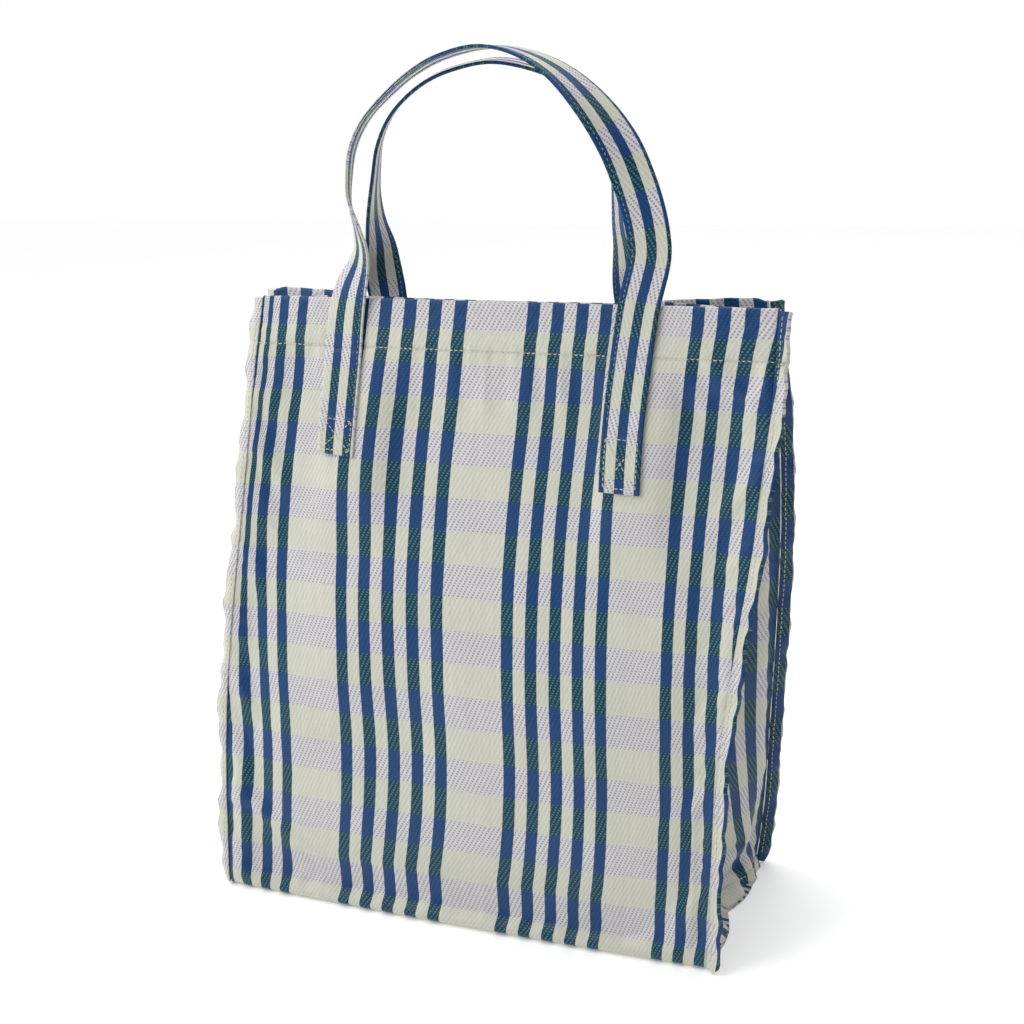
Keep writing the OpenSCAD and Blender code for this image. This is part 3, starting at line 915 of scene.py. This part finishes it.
straps = {}
for side, sn, line in ((-1, "front", FRONT_LINE), (1, "back", BACK_LINE)):
    C, Wd, Fd, T, v, d = strap_frames(side, line)
    n = len(C)
    mid = n // 2
    # the pattern drifts across the strap from one end to the other, as it was cut a little off the grain
    frac = d / d[-1]
    drift = 4.0 * (1 - frac)
    if side > 0:
        drift = 1.0 + 2.0 * frac
    tl = d.copy()
    crown = 0.3 + 0.0 * d
    tabtop = HINGE_V
    halfleg = (HINGE_V + L) / 2 + 6
    wid = Wd.copy()
    iL1 = int(np.searchsorted(v[:mid], tabtop))
    iL2 = int(np.searchsorted(v[:mid], halfleg))
    iR1 = n - 1 - int(np.searchsorted(v[mid:][::-1], tabtop))
    iR2 = n - 1 - int(np.searchsorted(v[mid:][::-1], halfleg))
    parts = {f"{sn}_left_tab_cloth": slice(0, iL1 + 1), f"{sn}_left_leg_cloth": slice(iL1, iL2 + 1),
             f"{sn}_loop_cloth": slice(iL2, iR2 + 1), f"{sn}_right_leg_cloth": slice(iR2, iR1 + 1),
             f"{sn}_right_tab_cloth": slice(iR1, n)}
    made = {}
    for nm, sl in parts.items():
        made[nm] = sweep(nm, C[sl], Wd[sl], Fd[sl], tl[sl], drift[sl], strap_mat, crown=crown[sl])
    across = -(STRAP_W / 2 - STITCH)
    lift = STRAP_T / 2 - 0.30

    def edge_line(sl, face):
        return C[sl] + Wd[sl] * across + Fd[sl] * face * lift, Fd[sl] * face

    a, b = slice(iL1 + 2, iL2 + 1), slice(iR2, iR1 - 1)
    made[f"{sn}_leg_stitches"] = stitches(f"{sn}_leg_stitches", [edge_line(a, 1), edge_line(b, 1), edge_line(a, -1), edge_line(b, -1)], long=2.1, radius=0.26, mat=edge_thread_mat)
    sl = slice(iL2, iR2 + 1)
    made[f"{sn}_loop_stitches"] = stitches(f"{sn}_loop_stitches", [edge_line(sl, 1), edge_line(sl, -1)], long=2.1, radius=0.26, mat=edge_thread_mat)
    # the box of stitches with its cross, on both sewn ends
    paths = []
    for lo_i, hi_i in ((0, iL1), (n - 1, iR1)):
        step = 1 if hi_i > lo_i else -1
        ii = np.arange(lo_i, hi_i + step, step)
        CC, WW, FF = C[ii], Wd[ii], Fd[ii]
        dd = np.abs(d[ii] - d[ii[0]])

        def on(h, w):
            p = np.stack([np.interp(h, dd, (CC)[:, k]) for k in range(3)], -1)
            ww = np.stack([np.interp(h, dd, WW[:, k]) for k in range(3)], -1)
            ff = np.stack([np.interp(h, dd, FF[:, k]) for k in range(3)], -1)
            return p + ww * np.asarray(w)[..., None] + ff * (STRAP_T / 2 + 0.02), ff

        w0, h0, h1 = STRAP_W / 2 - STITCH, 3.0, dd[-1] - 3.0
        ts = np.linspace(0, 1, 40)
        for ha, wa, hb, wb in ((h0, -w0, h1, -w0), (h0, w0, h1, w0), (h0, -w0, h0, w0), (h1, -w0, h1, w0), (h0, -w0, h1, w0), (h0, w0, h1, -w0)):
            paths.append(on(ha + (hb - ha) * ts, wa + (wb - wa) * ts))
    made[f"{sn}_box_stitches"] = stitches(f"{sn}_box_stitches", paths, pitch=3.0, long=2.3, radius=0.30)
    straps[side] = made

# hem, seam and base stitches
for side, sn in ((-1, "front"), (1, "back")):
    P, N, cols, vv = cloth_of[side]
    i = int(np.argmin(np.abs(vv - (L - HEM - 0.5))))
    row, nrm = P[i], N[i]
    strapx = [p[0] for p in ((-84.3,), (101,))] if side < 0 else [-83.6, 92]
    runs, cur = [], []
    for q, nn in zip(row, nrm):
        if any(abs(q[0] - sx) < STRAP_W / 2 + 0.5 for sx in strapx):
            if len(cur) > 2:
                runs.append(cur)
            cur = []
        else:
            cur.append((q, nn))
    runs.append(cur)
    paths = [(np.array([c[0] for c in r_]), np.array([c[1] for c in r_])) for r_ in runs if len(r_) > 2]
    inner = (row - nrm * (2 * 1.35 + 0.1), -nrm)
    straps[side]["hem"] = stitches(f"{sn}_hem_stitches", paths + [inner])
    paths = []
    for end in (1, -1):
        ob, G, M, v = fins[(side, end)]
        wide = np.linalg.norm(G[:, -1] - G[:, 0], axis=1)
        e = STITCH / np.maximum(wide, 4) * 5
        e = np.clip(e, 0, 4)
        i0 = e.astype(int)
        f = (e - i0)[:, None]
        ar = np.arange(len(v))
        pts = G[ar, i0] * (1 - f) + G[ar, i0 + 1] * f
        nm = M[ar, i0]
        ok = (v > 6) & (v < L - 2)
        paths.append((pts[ok] + nm[ok] * 0.02, nm[ok]))
        paths.append((pts[ok] - nm[ok] * 2.32, -nm[ok]))
    straps[side]["seam"] = stitches(f"{sn}_seam_stitches", paths)
paths = []
for G, M in ((right_low_grid, right_low_n), (left_low_grid, left_low_n)):
    paths.append((G[2][2:-2] + M[2][2:-2] * 0.05, M[2][2:-2]))
base_stitches = stitches("base_stitches", paths)

# ---------------------------------------------------------------- riding, and hiding the CAD parts each piece replaces
ANCHOR = {}


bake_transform(front_cloth)
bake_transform(back_cloth)
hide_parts("front_panel", "front_hem")
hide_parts("back_panel", "back_hem")
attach(base_cloth, "base")
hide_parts("base_panel")
for parts, node in ((rg, "right_gusset"), (lg, "left_gusset")):
    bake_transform(parts[0])
    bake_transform(parts[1])
    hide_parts(node)
for (side, end), (ob, *_r) in fins.items():
    sn, en = ("front" if side < 0 else "back"), ("right" if end > 0 else "left")
    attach(ob, f"{sn}_wall")
    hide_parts(f"{sn}_{en}_seam")
for ob, node in ((right_low, "right_base_seam"), (left_low, "left_base_seam")):
    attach(ob, "base")
    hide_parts(node)
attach(base_stitches, "base")
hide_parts("base_seam_thread")
for side, sn in ((-1, "front"), (1, "back")):
    made = straps[side]
    body = f"{sn}_wall"
    hinge_a = wall(side, 0, -2.6, HINGE_V)
    hinge_b = wall(side, 0, -1.5, L + 1)
    for en in ("left", "right"):
        ob = made[f"{sn}_{en}_tab_cloth"]
        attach(ob, body)
        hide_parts(f"{sn}_{en}_tab")
        ob = made[f"{sn}_{en}_leg_cloth"]
        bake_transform(ob)
        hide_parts(f"{sn}_{en}_leg")
    ob = made[f"{sn}_loop_cloth"]
    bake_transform(ob)
    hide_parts(f"{sn}_loop")
    ob = made[f"{sn}_leg_stitches"]
    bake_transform(ob)
    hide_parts(f"{sn}_leg_thread")
    ob = made[f"{sn}_loop_stitches"]
    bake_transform(ob)
    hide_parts(f"{sn}_loop_thread")
    for key, node in (("box", "box_thread"), ("hem", "hem_thread"), ("seam", "seam_thread")):
        ob = made["hem"] if key == "hem" else made["seam"] if key == "seam" else made[f"{sn}_box_stitches"]
        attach(ob, body)
        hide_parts(f"{sn}_{node}")
    for nm, ob in made.items():
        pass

wide, tall = (2 * HW) / 1000, (L + HEM + 8) / 1000

# ---------------------------------------------------------------- stage, light and camera
fm = Nodes("floor")
n = fm.noise(fm.t.nodes.new("ShaderNodeTexCoord").outputs["Object"], 3.0, 3)
fm.put(fm.bsdf.inputs["Base Color"], fm.mix(n, lin((247, 247, 247)), lin((252, 252, 252))))
fm.bsdf.inputs["Roughness"].default_value = 0.9
fm.bsdf.inputs["Emission Color"].default_value = (1, 1, 1, 1)
fm.bsdf.inputs["Emission Strength"].default_value = 0.2
bpy.ops.mesh.primitive_plane_add(size=8, location=(0, 0, -0.0003))
floor = bpy.context.object
floor.name = "floor"
floor.data.materials.append(fm.mat)

world = bpy.data.worlds.new("studio")
world.use_nodes = True
wt = world.node_tree
bg = wt.nodes["Background"]
# a white room whose light is strongest from behind, above and the left
wc = wt.nodes.new("ShaderNodeTexCoord")
dot = wt.nodes.new("ShaderNodeVectorMath")
dot.operation = "DOT_PRODUCT"
wt.links.new(wc.outputs["Generated"], dot.inputs[0])
dot.inputs[1].default_value = (-0.62, 0.62, 0.48)
ramp = wt.nodes.new("ShaderNodeMapRange")
ramp.interpolation_type = "SMOOTHSTEP"
for i, v in enumerate((-0.45, 0.3, 0.05, 1.02)):
    ramp.inputs[i + 1].default_value = v
wt.links.new(dot.outputs["Value"], ramp.inputs[0])
wt.links.new(ramp.outputs[0], bg.inputs["Strength"])
bg.inputs[0].default_value = (1, 1, 1, 1)
bpy.context.scene.world = world
bpy.context.scene.view_settings.view_transform = "Standard"


def area_light(name, at, target, size, power, spread=180):
    l = bpy.data.lights.new(name, "AREA")
    l.shape = "SQUARE"
    l.size = size
    l.energy = power
    l.spread = math.radians(spread)
    o = bpy.data.objects.new(name, l)
    bpy.context.scene.collection.objects.link(o)
    at, target = np.array(at, float), np.array(target, float)
    z = at - target
    z /= np.linalg.norm(z)
    x = np.cross([0, 0, 1.0], z)
    x /= np.linalg.norm(x)
    y = np.cross(z, x)
    o.matrix_world = Matrix([[x[0], y[0], z[0], at[0]], [x[1], y[1], z[1], at[1]], [x[2], y[2], z[2], at[2]], [0, 0, 0, 1]])


area_light("key", (-0.62, -0.7, 0.95), (-0.09, 0, 0.36), 0.6, 1.75, 95)
area_light("top", (0.1, 0.3, 2.2), (0, 0, 0.2), 2.0, 17)

yaw, pitch, roll = math.radians(21.2), math.radians(16.8), math.radians(-1.94)
target = np.array([0.0115, 0, 0.2629])
dist = 0.955
back_dir = np.array([math.sin(yaw) * math.cos(pitch), -math.cos(yaw) * math.cos(pitch), math.sin(pitch)])
place = target + back_dir * dist
fwd = -back_dir
rt = np.cross(fwd, [0, 0, 1.0])
rt /= np.linalg.norm(rt)
upv = np.cross(rt, fwd)
r2 = rt * math.cos(roll) + upv * math.sin(roll)
u2 = upv * math.cos(roll) - rt * math.sin(roll)
cam = bpy.data.cameras.new("camera")
cam.lens = 1500 * 36 / 1024
cam.sensor_width = 36
cam.clip_start = 0.05
co = bpy.data.objects.new("camera", cam)
bpy.context.scene.collection.objects.link(co)
co.matrix_world = Matrix([[r2[0], u2[0], back_dir[0], place[0]], [r2[1], u2[1], back_dir[1], place[1]],
                          [r2[2], u2[2], back_dir[2], place[2]], [0, 0, 0, 1]])
bpy.context.scene.camera = co
